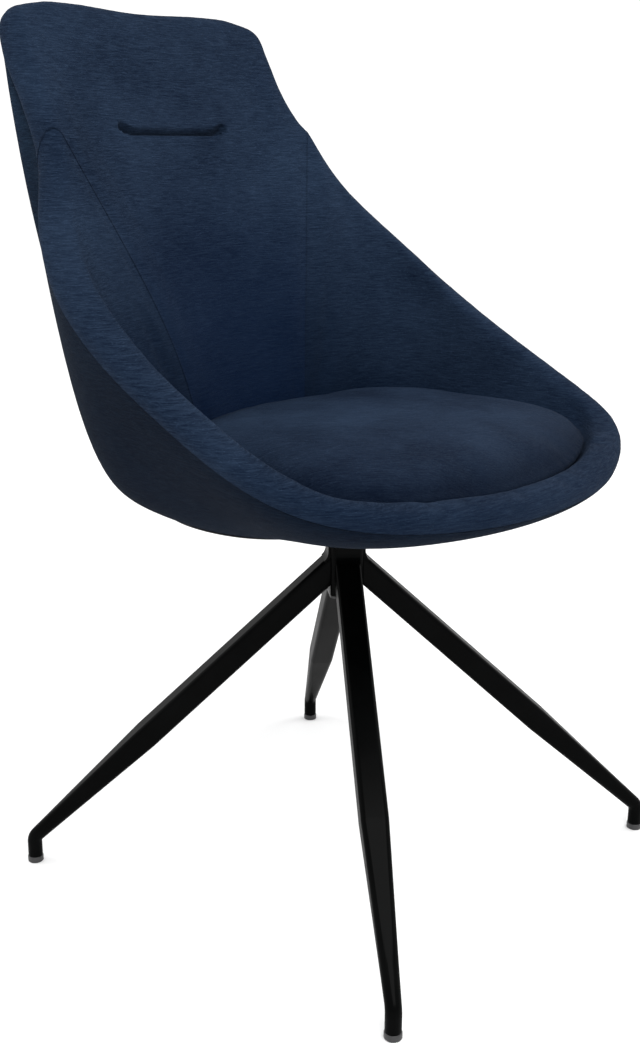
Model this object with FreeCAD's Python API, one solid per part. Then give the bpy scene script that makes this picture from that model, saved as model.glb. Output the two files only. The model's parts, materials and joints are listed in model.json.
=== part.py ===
import FreeCAD, Part
import math
import os

from FreeCAD import Vector

# A swivel dining chair: a padded bucket seat that turns on a four legged steel base.
# Millimetres, +Z up. The sitter looks along -Y, so the sitter's left hand is at +X.

# Steel base
LEG_REACH = 350.0            # turning axis to the middle of a foot
LEG_ROOT_HEIGHT = 336.5      # height of the leg's middle line where it meets the hub
LEG_WIDTH = 28.0
LEG_DEPTH = 26.0
LEG_WALL = 2.0
LEG_CORNER_RADIUS = 5.0
TAPER_START = 222.0          # distance from the axis at which a leg starts to taper
LEG_TURN = 45.0              # degrees from the side of the chair to the first leg
FOOT_DIAMETER = 16.0
FOOT_BEND_HEIGHT = 29.5      # where the leg's middle line meets the foot's
FOOT_BEND_RADIUS = 12.0
TAB_THICKNESS = 2.4          # top wall of a leg, turned up against the hub
TAB_BEND_RADIUS = 14.0
TAB_EDGE = 1.0               # how much narrower the tab is than the leg, each side
VENT_DIAMETER = 6.0
VENT_PLACE = 46.0            # distance of the vent hole from the axis
GLIDE_HEIGHT = 7.0
GLIDE_LIP = 0.6              # how far the glide stands out round the foot
GLIDE_SHANK_LENGTH = 14.0
GLIDE_EDGE = 1.2

# Hub and swivel
HUB_WIDTH = 36.0
HUB_WALL = 2.5
HUB_CORNER_RADIUS = 6.0
HUB_BOTTOM = 309.0
BUSH_HEIGHT = 22.0
BUSH_FLANGE = 2.0
LOWER_BUSH_RISE = 16.0       # lower bush above the bottom of the hub
THRUST_WASHER_THICKNESS = 2.9
THRUST_WASHER_WIDTH = 4.5
SPINDLE_DIAMETER = 25.0
SPINDLE_TAIL = 5.0           # spindle below its retaining ring
SPIGOT_DIAMETER = 16.0       # top end of the spindle, welded into the plate
KEEPER_WASHER_THICKNESS = 1.5
KEEPER_WASHER_WIDTH = 2.2
RING_THICKNESS = 1.6
RING_WIDTH = 2.0
RING_GROOVE_DEPTH = 1.2
RING_OPENING_DEG = 40.0
END_CAP_THICKNESS = 2.5
END_CAP_SKIRT = 6.0
END_CAP_WALL = 1.6

# Seat plate and its fasteners
PLATE_WIDTH = 170.0
PLATE_THICKNESS = 3.0
PLATE_EDGE_HEIGHT = 9.0      # turned down edge of the plate
PLATE_CORNER_RADIUS = 22.0
BOLT_SPACING = 124.0
BOLT_DIAMETER = 6.0
BOLT_HEAD_WIDTH = 10.0
BOLT_HEAD_HEIGHT = 4.0
BOLT_TIP = 1.0               # bolt above its nut
BOLT_WASHER_DIAMETER = 13.0
BOLT_WASHER_THICKNESS = 1.2
NUT_FLANGE_DIAMETER = 18.0
NUT_FLANGE_THICKNESS = 1.5
NUT_BARREL_DIAMETER = 9.0
NUT_BARREL_LENGTH = 9.0

# Layers of the bucket
COVER_UNDERSIDE = 412.0      # underside of the padded outer cover
COVER_THICKNESS = 4.0
CORE_THICKNESS = 5.4
UNDER_COVER_THICKNESS = 0.8
CLOTH_LAP = 4.0              # how far the cloth laps under the outer cover
BOARD_THICKNESS = 12.0
BOARD_EDGE_GAP = 4.0         # board inside the edge of the shell floor
BASE_PAD_THICKNESS = 9.0
BASE_PAD_HALF_WIDTH = 194.0
BASE_PAD_FRONT = 186.0
BASE_PAD_REAR = 96.0
RIM_THICKNESS = 34.0         # padded rim from its outside to its inside
RIM_CROWN = 13.0             # height of the rounding on the rim
SEAM_DROP = 8.0              # seam between outer cover and rim, below the rim

# Plan of the bucket: ovals about a centre behind the turning axis
PLAN_CENTRE_Y = 30.0
FLOOR_HALF_WIDTH = 177.0
FLOOR_FRONT = 117.5
FLOOR_REAR = 152.0
FLOOR_SQUARENESS = 2.2
BELLY_HALF_WIDTH = 228.0
BELLY_FRONT = 231.0
BELLY_REAR = 187.0
BELLY_SQUARENESS = 4.1
BELLY_LIFT = 13.0
WELL_HALF_WIDTH = 205.0
WELL_FRONT = 238.0
WELL_REAR = 103.0
WELL_SQUARENESS = 2.4
WELL_HEIGHT = 445.0          # lowest line of the inner padding

# Middle line of the rim, left hand half, from the front lip to the top of the back
LIP_Y = -254.0
LIP_HEIGHT = 473.0
LIP_CORNER_X = 179.5
LIP_CORNER_Y = -215.5
LIP_CORNER_HEIGHT = 481.5
ARM_FRONT_X = 257.5
ARM_FRONT_Y = -160.5
ARM_FRONT_HEIGHT = 501.0
ARM_HALF_WIDTH = 283.0
ARM_WIDEST_Y = -44.5
ARM_HEIGHT = 557.5
WING_X = 262.5
WING_Y = 135.5
WING_HEIGHT = 680.5
WING_TOP_X = 207.5
WING_TOP_Y = 223.0
WING_TOP_HEIGHT = 784.0
BACK_EDGE_X = 196.5
BACK_EDGE_Y = 278.0
BACK_EDGE_HEIGHT = 872.0
TOP_CORNER_X = 186.0
TOP_CORNER_Y = 297.5
TOP_CORNER_HEIGHT = 907.5
TOP_TURN_X = 156.0
TOP_TURN_Y = 303.5
TOP_TURN_HEIGHT = 918.5
TOP_Y = 308.5
TOP_HEIGHT = 921.0
FOOT_ANGLES = (0.0, 36.4, 52.2, 74.9, 112.0, 128.8, 147.0, 155.0, 160.5, 180.0)      # wall foot at each point

# Shape of the walls at four places round the bucket
PLACE_ANGLES = (0.0, 90.0, 128.0, 180.0)      # front, side, rear corner, rear
OUTER_FLARE = (4.0, 9.5, 33.0, 29.5)
OUTER_UPRIGHT = (0.41, 0.21, 0.79, 0.68)
INNER_LOWER_LEAN = (0.6, 0.6, 0.02, 0.24)
INNER_UPPER_LEAN = (0.2, 0.2, 0.48, 0.28)
INNER_LOWER_RISE = (0.4, 0.4, 0.35, 0.34)
INNER_UPPER_RISE = (0.4, 0.4, 0.35, 0.34)
STATIONS = 25
RIM_SAMPLES = 2000           # steps in which the rim is measured
TURN_COST = 160.0            # length that counts as much as one radian of turn
PLATE_STEPS = 12             # points on half the outline of an oval plate
PAD_START = 0.25             # share of the wall, from the floor, at which the padding starts
EDGE_TURN_LOW = 700.0        # below this height the rim faces up
EDGE_TURN_HIGH = 800.0       # above it the rim faces away from the middle of the back
BACK_MIDDLE_Y = 272.0
BACK_MIDDLE_HEIGHT = 800.0

# Seams, crease and cushion
SEAM_PLANE_Y = 60.0          # where the seam planes cross the middle of the chair
SEAM_PLANE_DEG = 38.0        # from the side of the chair towards the rear
CREASE_HEIGHT = 790.0
CREASE_LENGTH = 156.0
CREASE_RADIUS = 7.0
CREASE_BITE = 5.5            # depth of the crease
CREASE_END = 16.0            # length of each turned up end of the crease
CREASE_END_RISE = 6.0        # how far the ends turn up
CUSHION_CROWN_HEIGHT = 508.0
CUSHION_EDGE_HEIGHTS = (460.0, 482.0, 494.0, 496.0)
CUSHION_SIDE_GAP = 3.0       # between the cushion's widest line and the padding beside it
CUSHION_FLANK_GAP = 6.0      # pull of the cushion's flank away from the padding
CUSHION_TUCK = 22.0          # how far the sides of the cushion draw in at the bottom
CUSHION_FULLNESS = 0.6       # how full the rounding of the cushion is
CUSHION_FLAT_SHARE = 0.3     # share of the cushion's width that is flat on top
CUSHION_SHOULDER_SHARE = 0.86

# Fits
SOFT_GAP = 0.3               # between padding and its neighbours
COVER_GAP = 0.6              # between the outer cover and the moulded shell
RUNNING_GAP = 0.05           # between a shaft and its hole, on the radius
THRUST_GAP = 0.1             # between the thrust washer and the plate
HOLE_GAP = 0.5               # between a bolt and its hole, on the radius
CLOTH_GAP = 0.1              # above and below the cloth under the seat

PARTS_FOLDER = "parts"
UP = Vector(0, 0, 1)
TOLERANCE = 1e-4

HUB_HALF = HUB_WIDTH / 2
PLATE_TOP = COVER_UNDERSIDE - UNDER_COVER_THICKNESS - 2 * CLOTH_GAP
PLATE_UNDERSIDE = PLATE_TOP - PLATE_THICKNESS
THRUST_TOP = PLATE_UNDERSIDE - THRUST_GAP
HUB_TOP = THRUST_TOP - THRUST_WASHER_THICKNESS - BUSH_FLANGE
CORE_START = COVER_THICKNESS + COVER_GAP
CORE_END = CORE_START + CORE_THICKNESS
PAD_BACK = CORE_END + SOFT_GAP
BOARD_BOTTOM = COVER_UNDERSIDE + CORE_END
BOARD_TOP = BOARD_BOTTOM + BOARD_THICKNESS
NUT_TOP = BOARD_TOP + NUT_FLANGE_THICKNESS
BASE_PAD_BOTTOM = NUT_TOP + BOLT_TIP + SOFT_GAP
BASE_PAD_TOP = BASE_PAD_BOTTOM + BASE_PAD_THICKNESS
CUSHION_BOTTOM = BASE_PAD_TOP + SOFT_GAP


def plate_prism(width, corner_radius, bottom, height):
    """Square prism with rounded upright edges, centred on the turning axis."""
    block = Part.makeBox(width, width, height, Vector(-width / 2, -width / 2, bottom))
    upright = [e for e in block.Edges if abs(e.tangentAt(e.FirstParameter).z) > 0.9]
    return block.makeFillet(corner_radius, upright)


def cylinder(radius, bottom, top, x=0.0, y=0.0):
    """Upright cylinder between two heights."""
    return Part.makeCylinder(radius, top - bottom, Vector(x, y, bottom))


def ring(outer_radius, inner_radius, bottom, top):
    """Upright flat ring between two heights."""
    return cylinder(outer_radius, bottom, top).cut(cylinder(inner_radius, bottom, top))


def around_axis(shape, degrees):
    """Copy of a shape turned about the turning axis."""
    turned = shape.copy()
    turned.rotate(Vector(0, 0, 0), UP, degrees)
    return turned


def bolt_places():
    """The four bolt centres of the seat plate."""
    half = BOLT_SPACING / 2
    return [(x, y) for x in (-half, half) for y in (-half, half)]


def at_bolts(make):
    """One compound with a copy of a piece at each bolt centre."""
    return Part.makeCompound([make(x, y) for x, y in bolt_places()])


# Legs, in the plane of the first leg: u runs outwards, z up


def leg_slope():
    """Angle of the leg below the level, in radians."""
    run = LEG_REACH - HUB_HALF
    return math.atan2(LEG_ROOT_HEIGHT - FOOT_BEND_HEIGHT, run)


def leg_direction():
    """Unit vector down the leg."""
    slope = leg_slope()
    return Vector(math.cos(slope), 0, -math.sin(slope))


def leg_normal():
    """Unit vector square to the leg, on its upper side."""
    slope = leg_slope()
    return Vector(math.sin(slope), 0, math.cos(slope))


def leg_point(distance):
    """Point on the leg's middle line at a distance from the turning axis."""
    along = (distance - HUB_HALF) / math.cos(leg_slope())
    return Vector(HUB_HALF, 0, LEG_ROOT_HEIGHT) + leg_direction() * along


def section_wire(centre, rise, across, depth, width, radius):
    """Closed section of eight edges: a rounded rectangle, or a circle if the radius fills it."""
    is_round = 2 * radius >= min(depth, width)
    half_span = 22.5 if is_round else 45.0

    def place(quarter, degrees):
        """Point on the rounding of one quarter of the section."""
        angle = math.radians(degrees)
        sign_a = 1 if quarter in (0, 3) else -1
        sign_b = 1 if quarter in (0, 1) else -1
        a = sign_a * (depth / 2 - radius) + radius * math.cos(angle)
        b = sign_b * (width / 2 - radius) + radius * math.sin(angle)
        return centre + rise * a + across * b

    edges = []
    for quarter in range(4):
        middle = 45.0 + 90.0 * quarter
        start, end = place(quarter, middle - half_span), place(quarter, middle + half_span)
        edges.append(Part.Arc(start, place(quarter, middle), end).toShape())
        follower = (quarter + 1) % 4
        after = place(follower, middle + 90.0 - half_span)
        if is_round:
            edges.append(Part.Arc(end, place(quarter, middle + 45.0), after).toShape())
        else:
            edges.append(Part.LineSegment(end, after).toShape())
    return Part.Wire(edges)


def leg_body(inset):
    """Leg from hub to foot as one solid, drawn in by an inset on every wall."""
    across = Vector(0, 1, 0)
    along, rise = leg_direction(), leg_normal()
    depth, width = LEG_DEPTH - 2 * inset, LEG_WIDTH - 2 * inset
    radius = LEG_CORNER_RADIUS - inset
    foot_radius = FOOT_DIAMETER / 2 - inset
    turn = math.pi / 2 - leg_slope()
    root = leg_point(0.0)
    taper = leg_point(TAPER_START)
    bend = leg_point(LEG_REACH) - along * (FOOT_BEND_RADIUS * math.tan(turn / 2))
    root_wire = section_wire(root, rise, across, depth, width, radius)
    straight = Part.Face(root_wire).extrude(taper - root)
    wires = [section_wire(taper, rise, across, depth, width, radius),
             section_wire(bend, rise, across, 2 * foot_radius, 2 * foot_radius, foot_radius)]
    tapered = Part.makeLoft(wires, True, True)
    bend_centre = bend - rise * FOOT_BEND_RADIUS
    disc = Part.Face(Part.Wire(Part.makeCircle(foot_radius, bend, along)))
    elbow = disc.revolve(bend_centre, across, math.degrees(turn))
    foot_top = FOOT_BEND_HEIGHT - FOOT_BEND_RADIUS * math.tan(turn / 2)
    foot = cylinder(foot_radius, GLIDE_HEIGHT, foot_top, LEG_REACH)
    return straight.fuse([tapered, elbow, foot])


def leg_tab():
    """Top wall of the leg, bent up against the hub."""
    face = HUB_HALF + TAB_THICKNESS
    rise, slope = leg_normal(), leg_slope()
    top_line = leg_point(face) + rise * (LEG_DEPTH / 2)
    top_line = top_line + leg_direction() * ((face - top_line.x) / math.cos(slope))
    centre_u = face + TAB_BEND_RADIUS
    centre_z = top_line.z + TAB_BEND_RADIUS * (1 - math.sin(slope)) / math.cos(slope)
    centre = Vector(centre_u, 0, centre_z)
    upper = Vector(face, 0, centre_z)
    lower = centre - rise * TAB_BEND_RADIUS
    towards = (Vector(-1, 0, 0) - rise).normalize()
    middle = centre + towards * TAB_BEND_RADIUS
    sunk = lower - rise * LEG_WALL
    corner = Vector(HUB_HALF, 0, sunk.z + (sunk.x - HUB_HALF) * math.tan(slope))
    top_inner, top_outer = Vector(HUB_HALF, 0, HUB_TOP), Vector(face, 0, HUB_TOP)
    outline = [Part.LineSegment(corner, top_inner).toShape(),
               Part.LineSegment(top_inner, top_outer).toShape(),
               Part.LineSegment(top_outer, upper).toShape(),
               Part.Arc(upper, middle, lower).toShape(),
               Part.LineSegment(lower, sunk).toShape(),
               Part.LineSegment(sunk, corner).toShape()]
    width = LEG_WIDTH - 2 * TAB_EDGE
    side = Part.Face(Part.Wire(outline))
    side.translate(Vector(0, -width / 2, 0))
    return side.extrude(Vector(0, width, 0))


def leg():
    """Hollow leg with its tab, cut square to the hub face, with a vent hole below."""
    hub_space = Part.makeBox(2 * HUB_HALF, HUB_WIDTH * 2, HUB_TOP, Vector(-HUB_HALF, -HUB_WIDTH, 0))
    tube = leg_body(0.0).cut(leg_body(LEG_WALL))
    vent_start = leg_point(VENT_PLACE)
    vent = Part.makeCylinder(VENT_DIAMETER / 2, LEG_DEPTH, vent_start, leg_normal() * -1)
    return tube.cut(vent).fuse(leg_tab().cut(leg_body(LEG_WALL))).cut(hub_space).removeSplitter()


def glide():
    """Plastic glide: a shank inside the foot and a rounded head under it."""
    inner_radius = FOOT_DIAMETER / 2 - LEG_WALL - RUNNING_GAP
    shank = cylinder(inner_radius, GLIDE_HEIGHT, GLIDE_HEIGHT + GLIDE_SHANK_LENGTH, LEG_REACH)
    head = cylinder(FOOT_DIAMETER / 2 + GLIDE_LIP, 0, GLIDE_HEIGHT, LEG_REACH)
    rims = [e for e in head.Edges if isinstance(e.Curve, Part.Circle)]
    return head.makeFillet(GLIDE_EDGE, rims).fuse(shank)


# Hub and swivel


def hub_tube():
    """Square tube that the legs are welded to."""
    outside = plate_prism(HUB_WIDTH, HUB_CORNER_RADIUS, HUB_BOTTOM, HUB_TOP - HUB_BOTTOM)
    inside = plate_prism(hub_bore_width(), HUB_CORNER_RADIUS - HUB_WALL, HUB_BOTTOM, HUB_TOP - HUB_BOTTOM)
    return outside.cut(inside)


def hub_bore_width():
    """Width of the square hole in the hub tube."""
    return HUB_WIDTH - 2 * HUB_WALL


def hub_plug(bottom, height):
    """Square plug that fits the hub tube."""
    width = hub_bore_width() - 2 * RUNNING_GAP
    return plate_prism(width, HUB_CORNER_RADIUS - HUB_WALL, bottom, height)


def spindle_hole(bottom, top):
    """Space of the spindle with its running clearance."""
    return cylinder(SPINDLE_DIAMETER / 2 + RUNNING_GAP, bottom, top)


def upper_bush():
    """Flanged nylon bush in the top of the hub."""
    flange = plate_prism(HUB_WIDTH, HUB_CORNER_RADIUS, HUB_TOP, BUSH_FLANGE)
    body = hub_plug(HUB_TOP - BUSH_HEIGHT, BUSH_HEIGHT).fuse(flange)
    return body.cut(spindle_hole(HUB_TOP - BUSH_HEIGHT, HUB_TOP + BUSH_FLANGE)).removeSplitter()


def lower_bush():
    """Plain nylon bush low in the hub."""
    bottom = HUB_BOTTOM + LOWER_BUSH_RISE
    return hub_plug(bottom, BUSH_HEIGHT).cut(spindle_hole(bottom, bottom + BUSH_HEIGHT))


def thrust_washer():
    """Slippery ring between the hub and the seat plate."""
    inner = SPINDLE_DIAMETER / 2 + RUNNING_GAP
    bottom = HUB_TOP + BUSH_FLANGE
    return ring(inner + THRUST_WASHER_WIDTH, inner, bottom, THRUST_TOP)


def hub_end_cap():
    """Plastic cap with a hollow skirt in the lower end of the hub."""
    flange = plate_prism(HUB_WIDTH, HUB_CORNER_RADIUS, HUB_BOTTOM - END_CAP_THICKNESS, END_CAP_THICKNESS)
    skirt = hub_plug(HUB_BOTTOM, END_CAP_SKIRT)
    width = hub_bore_width() - 2 * END_CAP_WALL
    hollow = plate_prism(width, HUB_CORNER_RADIUS - HUB_WALL, HUB_BOTTOM, END_CAP_SKIRT)
    return flange.fuse(skirt.cut(hollow)).removeSplitter()


def ring_top():
    """Height of the top of the retaining ring."""
    return HUB_BOTTOM + LOWER_BUSH_RISE - SOFT_GAP - KEEPER_WASHER_THICKNESS


def groove_radius():
    """Radius of the spindle in its ring groove."""
    return SPINDLE_DIAMETER / 2 - RING_GROOVE_DEPTH


def swivel_spindle():
    """Steel pin with a ring groove near its end and a spigot that is welded into the plate."""
    bottom = ring_top() - RING_THICKNESS - SPINDLE_TAIL
    pin = cylinder(SPINDLE_DIAMETER / 2, bottom, PLATE_UNDERSIDE)
    spigot = cylinder(SPIGOT_DIAMETER / 2, PLATE_UNDERSIDE, PLATE_TOP)
    groove = ring(SPINDLE_DIAMETER, groove_radius(), ring_top() - RING_THICKNESS - RUNNING_GAP, ring_top())
    return pin.fuse(spigot).cut(groove).removeSplitter()


def spindle_washer():
    """Washer between the lower bush and the retaining ring."""
    inner = SPINDLE_DIAMETER / 2 + RUNNING_GAP
    return ring(inner + KEEPER_WASHER_WIDTH, inner, ring_top(), ring_top() + KEEPER_WASHER_THICKNESS)


def retaining_ring():
    """Open spring ring in the groove of the spindle."""
    inner = groove_radius() + RUNNING_GAP
    band = ring(SPINDLE_DIAMETER / 2 + RING_WIDTH, inner, ring_top() - RING_THICKNESS, ring_top())
    opening = Part.makeCylinder(SPINDLE_DIAMETER, RING_THICKNESS, Vector(0, 0, ring_top() - RING_THICKNESS),
                                UP, RING_OPENING_DEG)
    return band.cut(opening)


# Seat plate and fasteners


def bolt_hole(x, y):
    """Clearance hole for one bolt through all that it passes."""
    return cylinder(BOLT_DIAMETER / 2 + HOLE_GAP, PLATE_UNDERSIDE - PLATE_THICKNESS, BOARD_TOP, x, y)


def seat_plate():
    """Pressed steel plate with a turned down edge, four bolt holes and the spigot hole."""
    height = PLATE_THICKNESS + PLATE_EDGE_HEIGHT
    outside = plate_prism(PLATE_WIDTH, PLATE_CORNER_RADIUS, PLATE_TOP - height, height)
    inside = plate_prism(PLATE_WIDTH - 2 * PLATE_THICKNESS, PLATE_CORNER_RADIUS - PLATE_THICKNESS,
                         PLATE_TOP - height, PLATE_EDGE_HEIGHT)
    spigot_hole = cylinder(SPIGOT_DIAMETER / 2 + RUNNING_GAP, PLATE_UNDERSIDE, PLATE_TOP)
    return outside.cut(inside).cut(spigot_hole).cut(at_bolts(bolt_hole))


def mounting_bolt(x, y):
    """Hexagon bolt that comes up through the plate into its nut."""
    head_top = PLATE_UNDERSIDE - BOLT_WASHER_THICKNESS
    corner = BOLT_HEAD_WIDTH / math.sqrt(3)
    angles = [math.radians(60 * step) for step in range(7)]
    hexagon = [Vector(x + corner * math.cos(a), y + corner * math.sin(a), head_top) for a in angles]
    head = Part.Face(Part.makePolygon(hexagon)).extrude(Vector(0, 0, -BOLT_HEAD_HEIGHT))
    return head.fuse(cylinder(BOLT_DIAMETER / 2, head_top, NUT_TOP + BOLT_TIP, x, y))


def bolt_washer(x, y):
    """Flat washer under the head of one bolt."""
    bottom = PLATE_UNDERSIDE - BOLT_WASHER_THICKNESS
    disc = cylinder(BOLT_WASHER_DIAMETER / 2, bottom, PLATE_UNDERSIDE, x, y)
    return disc.cut(cylinder(BOLT_DIAMETER / 2 + RUNNING_GAP, bottom, PLATE_UNDERSIDE, x, y))


def nut_barrel(x, y, gap):
    """Barrel of one tee nut, with a gap round it for its hole."""
    return cylinder(NUT_BARREL_DIAMETER / 2 + gap, BOARD_TOP - NUT_BARREL_LENGTH, BOARD_TOP, x, y)


def tee_nut(x, y):
    """Tee nut: a flange on the board and a barrel in it."""
    flange = cylinder(NUT_FLANGE_DIAMETER / 2, BOARD_TOP, NUT_TOP, x, y)
    thread = cylinder(BOLT_DIAMETER / 2 + RUNNING_GAP, BOARD_TOP - NUT_BARREL_LENGTH, NUT_TOP, x, y)
    return flange.fuse(nut_barrel(x, y, 0.0)).cut(thread)


# Plan ovals and the guide lines of the bucket


def oval_point(angle, half_width, front, rear, squareness, height):
    """Point of a squared oval about the plan centre."""
    reach = rear if math.cos(angle) < 0 else front
    side = abs(math.sin(angle) / half_width) ** squareness
    ahead = abs(math.cos(angle) / reach) ** squareness
    radius = (side + ahead) ** (-1 / squareness)
    return Vector(radius * math.sin(angle), PLAN_CENTRE_Y - radius * math.cos(angle), height)


def smooth_step(value):
    """Smooth rise from 0 to 1, held outside that range."""
    held = min(max(value, 0.0), 1.0)
    return held * held * (3 - 2 * held)


def at_place(values, angle):
    """Value at a plan angle, eased between its values at the four places."""
    degrees = math.degrees(abs(angle))
    result = values[0]
    for index in range(1, len(values)):
        start, end = PLACE_ANGLES[index - 1], PLACE_ANGLES[index]
        result += (values[index] - values[index - 1]) * smooth_step((degrees - start) / (end - start))
    return result


def rim_points():
    """Points of the rim line of one half, from the lip to the top of the back."""
    return [Vector(0, LIP_Y, LIP_HEIGHT),
            Vector(LIP_CORNER_X, LIP_CORNER_Y, LIP_CORNER_HEIGHT),
            Vector(ARM_FRONT_X, ARM_FRONT_Y, ARM_FRONT_HEIGHT),
            Vector(ARM_HALF_WIDTH, ARM_WIDEST_Y, ARM_HEIGHT),
            Vector(WING_X, WING_Y, WING_HEIGHT),
            Vector(WING_TOP_X, WING_TOP_Y, WING_TOP_HEIGHT),
            Vector(BACK_EDGE_X, BACK_EDGE_Y, BACK_EDGE_HEIGHT),
            Vector(TOP_CORNER_X, TOP_CORNER_Y, TOP_CORNER_HEIGHT),
            Vector(TOP_TURN_X, TOP_TURN_Y, TOP_TURN_HEIGHT),
            Vector(0, TOP_Y, TOP_HEIGHT)]


def rim_and_foot_curves():
    """Rim line of one half, and the plan angle of the wall foot along it as a curve in x."""
    points = rim_points()
    reached = [0.0]
    for index in range(1, len(points)):
        reached.append(reached[-1] + points[index].distanceToPoint(points[index - 1]))
    rim = Part.BSplineCurve()
    rim.interpolate(Points=points, Parameters=reached, InitialTangent=Vector(1, 0, 0),
                    FinalTangent=Vector(-1, 0, 0), Scale=False)
    foot = Part.BSplineCurve()
    foot.interpolate(Points=[Vector(angle, 0, 0) for angle in FOOT_ANGLES], Parameters=reached)
    return rim, foot


def split_curve(points, start, end):
    """Control points of the stretch of a cubic curve between two of its parameters."""
    def blossom(a, b, c):
        """Point that three parameters give, one for each step of the construction."""
        level = list(points)
        for share in (a, b, c):
            level = [level[i] * (1 - share) + level[i + 1] * share for i in range(len(level) - 1)]
        return level[0]
    return [blossom(start, start, start), blossom(start, start, end),
            blossom(start, end, end), blossom(end, end, end)]


class Station:
    """One place on the rim with the wall curve that runs down from it."""

    def __init__(self, rim, foot, parameter, share):
        """Works out the directions and control points at a parameter of the rim."""
        self.share = share
        top = rim.value(parameter)
        along = rim.tangent(parameter)[0]
        self.angle = angle = math.radians(foot.value(parameter).x)
        outward = Vector(math.sin(angle), -math.cos(angle), 0)
        self.floor = oval_point(angle, FLOOR_HALF_WIDTH, FLOOR_FRONT, FLOOR_REAR, FLOOR_SQUARENESS,
                                COVER_UNDERSIDE)
        self.belly = oval_point(angle, BELLY_HALF_WIDTH, BELLY_FRONT, BELLY_REAR, BELLY_SQUARENESS,
                                COVER_UNDERSIDE + BELLY_LIFT)
        handle = outward * at_place(OUTER_FLARE, angle)
        handle = handle + UP * ((top.z - COVER_UNDERSIDE) * at_place(OUTER_UPRIGHT, angle))
        away = (top - Vector(0, BACK_MIDDLE_Y, BACK_MIDDLE_HEIGHT)).normalize()
        turn = smooth_step((top.z - EDGE_TURN_LOW) / (EDGE_TURN_HIGH - EDGE_TURN_LOW))
        facing = Vector(handle).normalize() * (1 - turn) + away * turn
        self.facing = (facing - along * facing.dot(along)).normalize()
        self.normal = along.cross(self.facing).normalize()
        base = top - self.facing * RIM_CROWN
        self.outer_edge = base + self.normal * (RIM_THICKNESS / 2)
        self.inner_edge = base - self.normal * (RIM_THICKNESS / 2)
        self.shoulder = self.outer_edge - handle
        self.seam = 1 - SEAM_DROP / (3 * handle.Length)
        self.rim_start = 1 - (SEAM_DROP - SOFT_GAP) / (3 * handle.Length)
        self.well = oval_point(angle, WELL_HALF_WIDTH, WELL_FRONT, WELL_REAR, WELL_SQUARENESS, WELL_HEIGHT)
        rise = self.inner_edge - self.well
        level = Vector(rise.x, rise.y, 0)
        self.inner_low = (self.well + level * at_place(INNER_LOWER_LEAN, angle)
                          + UP * (rise.z * at_place(INNER_LOWER_RISE, angle)))
        self.inner_high = (self.inner_edge - level * at_place(INNER_UPPER_LEAN, angle)
                           - UP * (rise.z * at_place(INNER_UPPER_RISE, angle)))

    def wall(self, depth, start, end):
        """Control points of the wall at a depth below its outside, between two shares of its height."""
        points = [self.floor + UP * depth, self.belly + UP * depth,
                  self.shoulder - self.normal * depth, self.outer_edge - self.normal * depth]
        return split_curve(points, start, end)

    def cap(self):
        """Control points over the rounded rim, from outside to inside."""
        reach = self.facing * (RIM_CROWN * 4 / 3)
        return [self.outer_edge, self.outer_edge + reach, self.inner_edge + reach, self.inner_edge]

    def inside(self):
        """Control points down the inside of the padding."""
        return [self.inner_edge, self.inner_high, self.inner_low, self.well]

    def inside_at(self, height):
        """Point on the inside of the padding at a height."""
        curve = Part.BezierCurve()
        curve.setPoles(self.inside())
        start, end = curve.FirstParameter, curve.LastParameter
        while end - start > TOLERANCE:
            middle = (start + end) / 2
            if curve.value(middle).z > height:
                start = middle
            else:
                end = middle
        point = curve.value(start)
        return Vector(point.x, point.y, height)


def make_stations():
    """Stations along the rim, closer together where it turns."""
    rim, foot = rim_and_foot_curves()
    first, last = rim.FirstParameter, rim.LastParameter
    fine = [first + (last - first) * index / RIM_SAMPLES for index in range(RIM_SAMPLES + 1)]
    reached, spent = [0.0], [0.0]
    for before, after in zip(fine, fine[1:]):
        length = rim.value(before).distanceToPoint(rim.value(after))
        turn = rim.tangent(before)[0].getAngle(rim.tangent(after)[0])
        reached.append(reached[-1] + length)
        spent.append(spent[-1] + length + turn * TURN_COST)
    stations = []
    for index in range(STATIONS):
        goal = spent[-1] * index / (STATIONS - 1)
        nearest = min(range(len(fine)), key=lambda place: abs(spent[place] - goal))
        stations.append(Station(rim, foot, fine[nearest], reached[nearest] / reached[-1]))
    return stations


def guide_line(points, shares):
    """Smooth line through one control point of every station, square to the middle plane at its ends."""
    start = Vector((points[1].x - points[0].x) / (shares[1] - shares[0]), 0, 0)
    end = Vector((points[-1].x - points[-2].x) / (shares[-1] - shares[-2]), 0, 0)
    line = Part.BSplineCurve()
    line.interpolate(Points=points, Parameters=shares, InitialTangent=start, FinalTangent=end, Scale=False)
    return line


def strip_face(rows, shares):
    """Face along the half bucket whose cross lines have the given rows of control points."""
    lines = [guide_line(list(row), shares) for row in rows]
    degree = len(lines) - 1
    surface = Part.BSplineSurface()
    poles = [list(across) for across in zip(*[line.getPoles() for line in lines])]
    surface.buildFromPolesMultsKnots(poles, lines[0].getMultiplicities(), [degree + 1, degree + 1],
                                     lines[0].getKnots(), [0.0, 1.0], False, False, 3, degree)
    return surface.toShape()


def rows_of(stations, points_at):
    """Control rows along the bucket from a function that gives each station's control points."""
    return list(zip(*[points_at(station) for station in stations]))


def shares_of(stations):
    """Share of the rim's length at every station."""
    return [station.share for station in stations]


def ends_of(rows_before, rows_after):
    """Two rows that close the step between the end of one strip and the start of another."""
    return [rows_before[-1], rows_after[0]]


def level_face(row, shares):
    """Flat face inside a level row and its mirror image."""
    line = guide_line(list(row), shares).toShape()
    other = line.mirror(Vector(0, 0, 0), Vector(1, 0, 0))
    return Part.Face(Part.Wire(Part.__sortEdges__([line, other])))


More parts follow.
